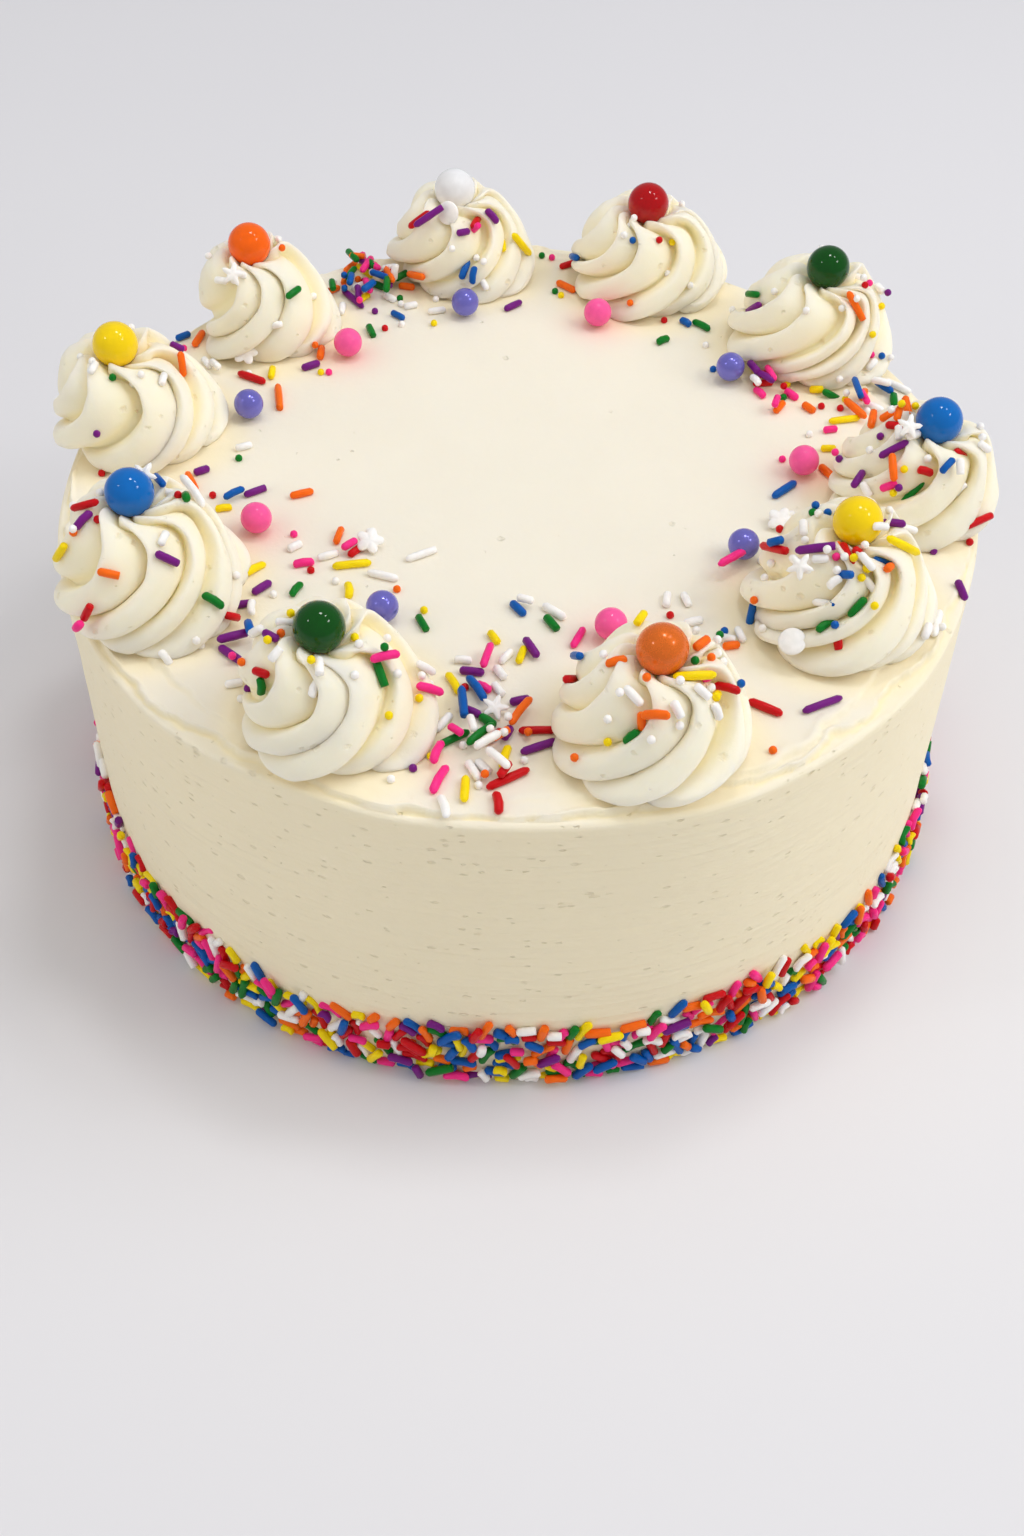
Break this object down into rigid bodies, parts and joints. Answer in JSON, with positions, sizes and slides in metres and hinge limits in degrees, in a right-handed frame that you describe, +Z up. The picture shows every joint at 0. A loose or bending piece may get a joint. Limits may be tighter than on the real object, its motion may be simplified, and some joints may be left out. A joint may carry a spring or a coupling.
{
  "type": "iced cake",
  "caption": "Round white iced cake with a piped border of swirls, a sugar ball on each, small pearls, scattered sprinkles and a sprinkle band round the foot.",
  "frame": {"origin": "centre of the round base, on the plane that the cake rests on", "axes": "+Z up through the middle of the top; -Y is the front of the cake as it is shown; +X to the right"},
  "size_m": [0.217, 0.2194, 0.1178],
  "materials": {
    "icing": "soft satin buttercream icing, warm white",
    "strands": "mixed bright sugar strands, satin",
    "ball_green": "glossy dark green candy shell",
    "ball_copper": "pearly copper orange candy shell",
    "ball_yellow": "glossy yellow candy shell",
    "ball_blue": "glossy blue candy shell",
    "ball_red": "glossy red candy shell",
    "ball_white": "glossy white candy shell",
    "ball_orange": "glossy orange candy shell",
    "pearl_pink": "glossy pink sugar pearl",
    "pearl_violet": "pearly violet sugar pearl"
  },
  "bodies": {
    "root": {"cake_body": "icing", "sprinkle_band": "strands", "swirl_front_left": "icing", "ball_front_left": "ball_green", "swirl_front": "icing", "ball_front": "ball_copper", "swirl_right_front": "icing", "ball_right_front": "ball_yellow", "swirl_right": "icing", "ball_right": "ball_blue", "swirl_back_right": "icing", "ball_back_right": "ball_green", "swirl_back": "icing", "ball_back": "ball_red", "swirl_back_left": "icing", "ball_back_left": "ball_white", "swirl_left_back": "icing", "ball_left_back": "ball_orange", "swirl_left": "icing", "ball_left": "ball_yellow", "swirl_left_front": "icing", "ball_left_front": "ball_blue", "pearl_front_left": "pearl_violet", "pearl_front": "pearl_pink", "pearl_right_front": "pearl_violet", "pearl_right": "pearl_pink", "pearl_back_right": "pearl_violet", "pearl_back": "pearl_pink", "pearl_back_left": "pearl_violet", "pearl_left_back": "pearl_pink", "pearl_left": "pearl_violet", "pearl_left_front": "pearl_pink"}
  },
  "joints": []
}
